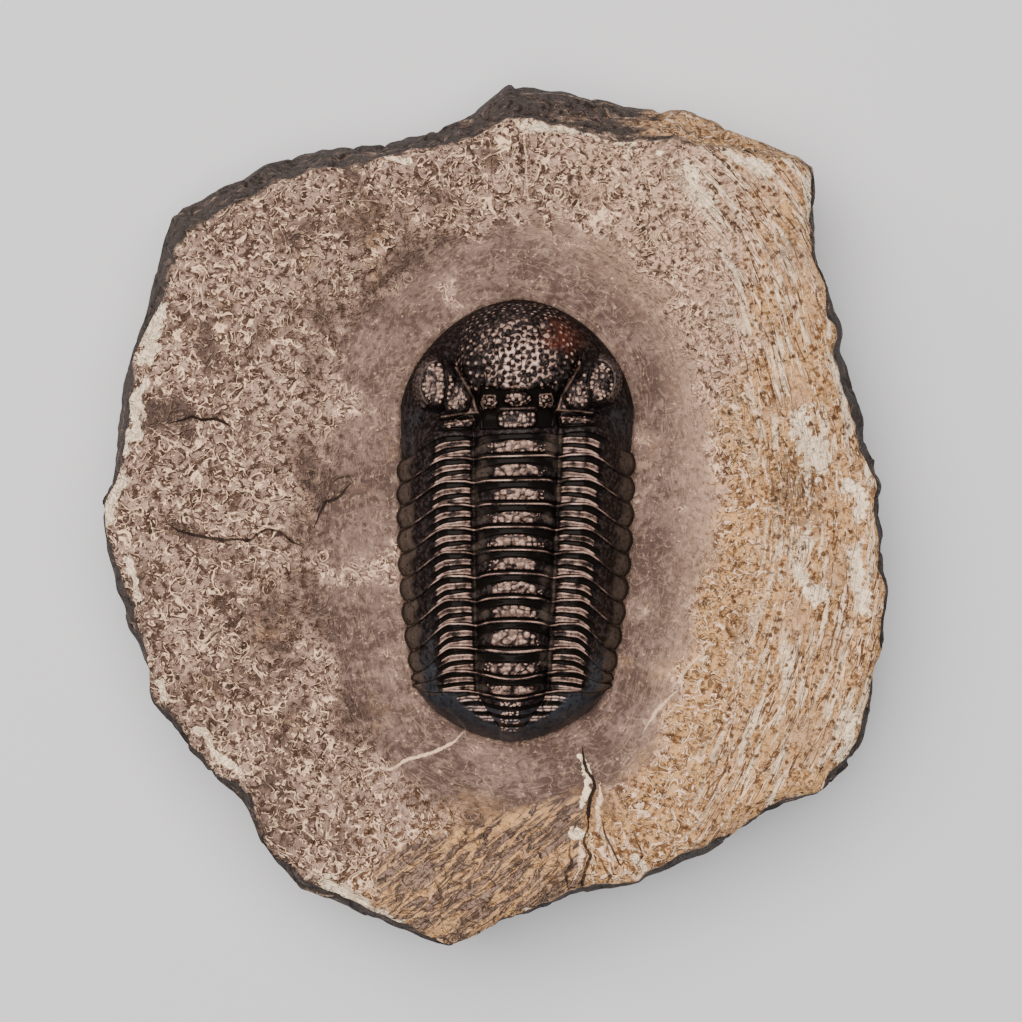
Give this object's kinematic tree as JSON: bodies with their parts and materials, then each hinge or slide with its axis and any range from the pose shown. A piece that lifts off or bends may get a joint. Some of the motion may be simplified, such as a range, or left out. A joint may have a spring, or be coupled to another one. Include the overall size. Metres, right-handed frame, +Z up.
{
  "type": "trilobite fossil on matrix",
  "caption": "Dark, glossy trilobite fossil standing proud in a carved moat on a rough tan limestone slab that lies flat.",
  "frame": {"origin": "bottom centre of the whole object's box, on the surface that it lies on", "axes": "+Y towards the animal's head, along the slab's longest side; +X to the right, seen from above; +Z up, out of the fossil's back"},
  "size_m": [0.091, 0.0998, 0.0317],
  "materials": {
    "limestone": "tan limestone, brushed smooth in the moat and rough-scribed outside it, with cream chips and slate-dark broken sides",
    "fossil_calcite": "near-black brown fossil calcite with a waxed gloss"
  },
  "bodies": {
    "root": {"matrix": "limestone", "cephalon": "fossil_calcite", "thoracic_segment_01": "fossil_calcite", "thoracic_segment_02": "fossil_calcite", "thoracic_segment_03": "fossil_calcite", "thoracic_segment_04": "fossil_calcite", "thoracic_segment_05": "fossil_calcite", "thoracic_segment_06": "fossil_calcite", "thoracic_segment_07": "fossil_calcite", "thoracic_segment_08": "fossil_calcite", "thoracic_segment_09": "fossil_calcite", "thoracic_segment_10": "fossil_calcite", "thoracic_segment_11": "fossil_calcite", "pygidium": "fossil_calcite"}
  },
  "joints": []
}
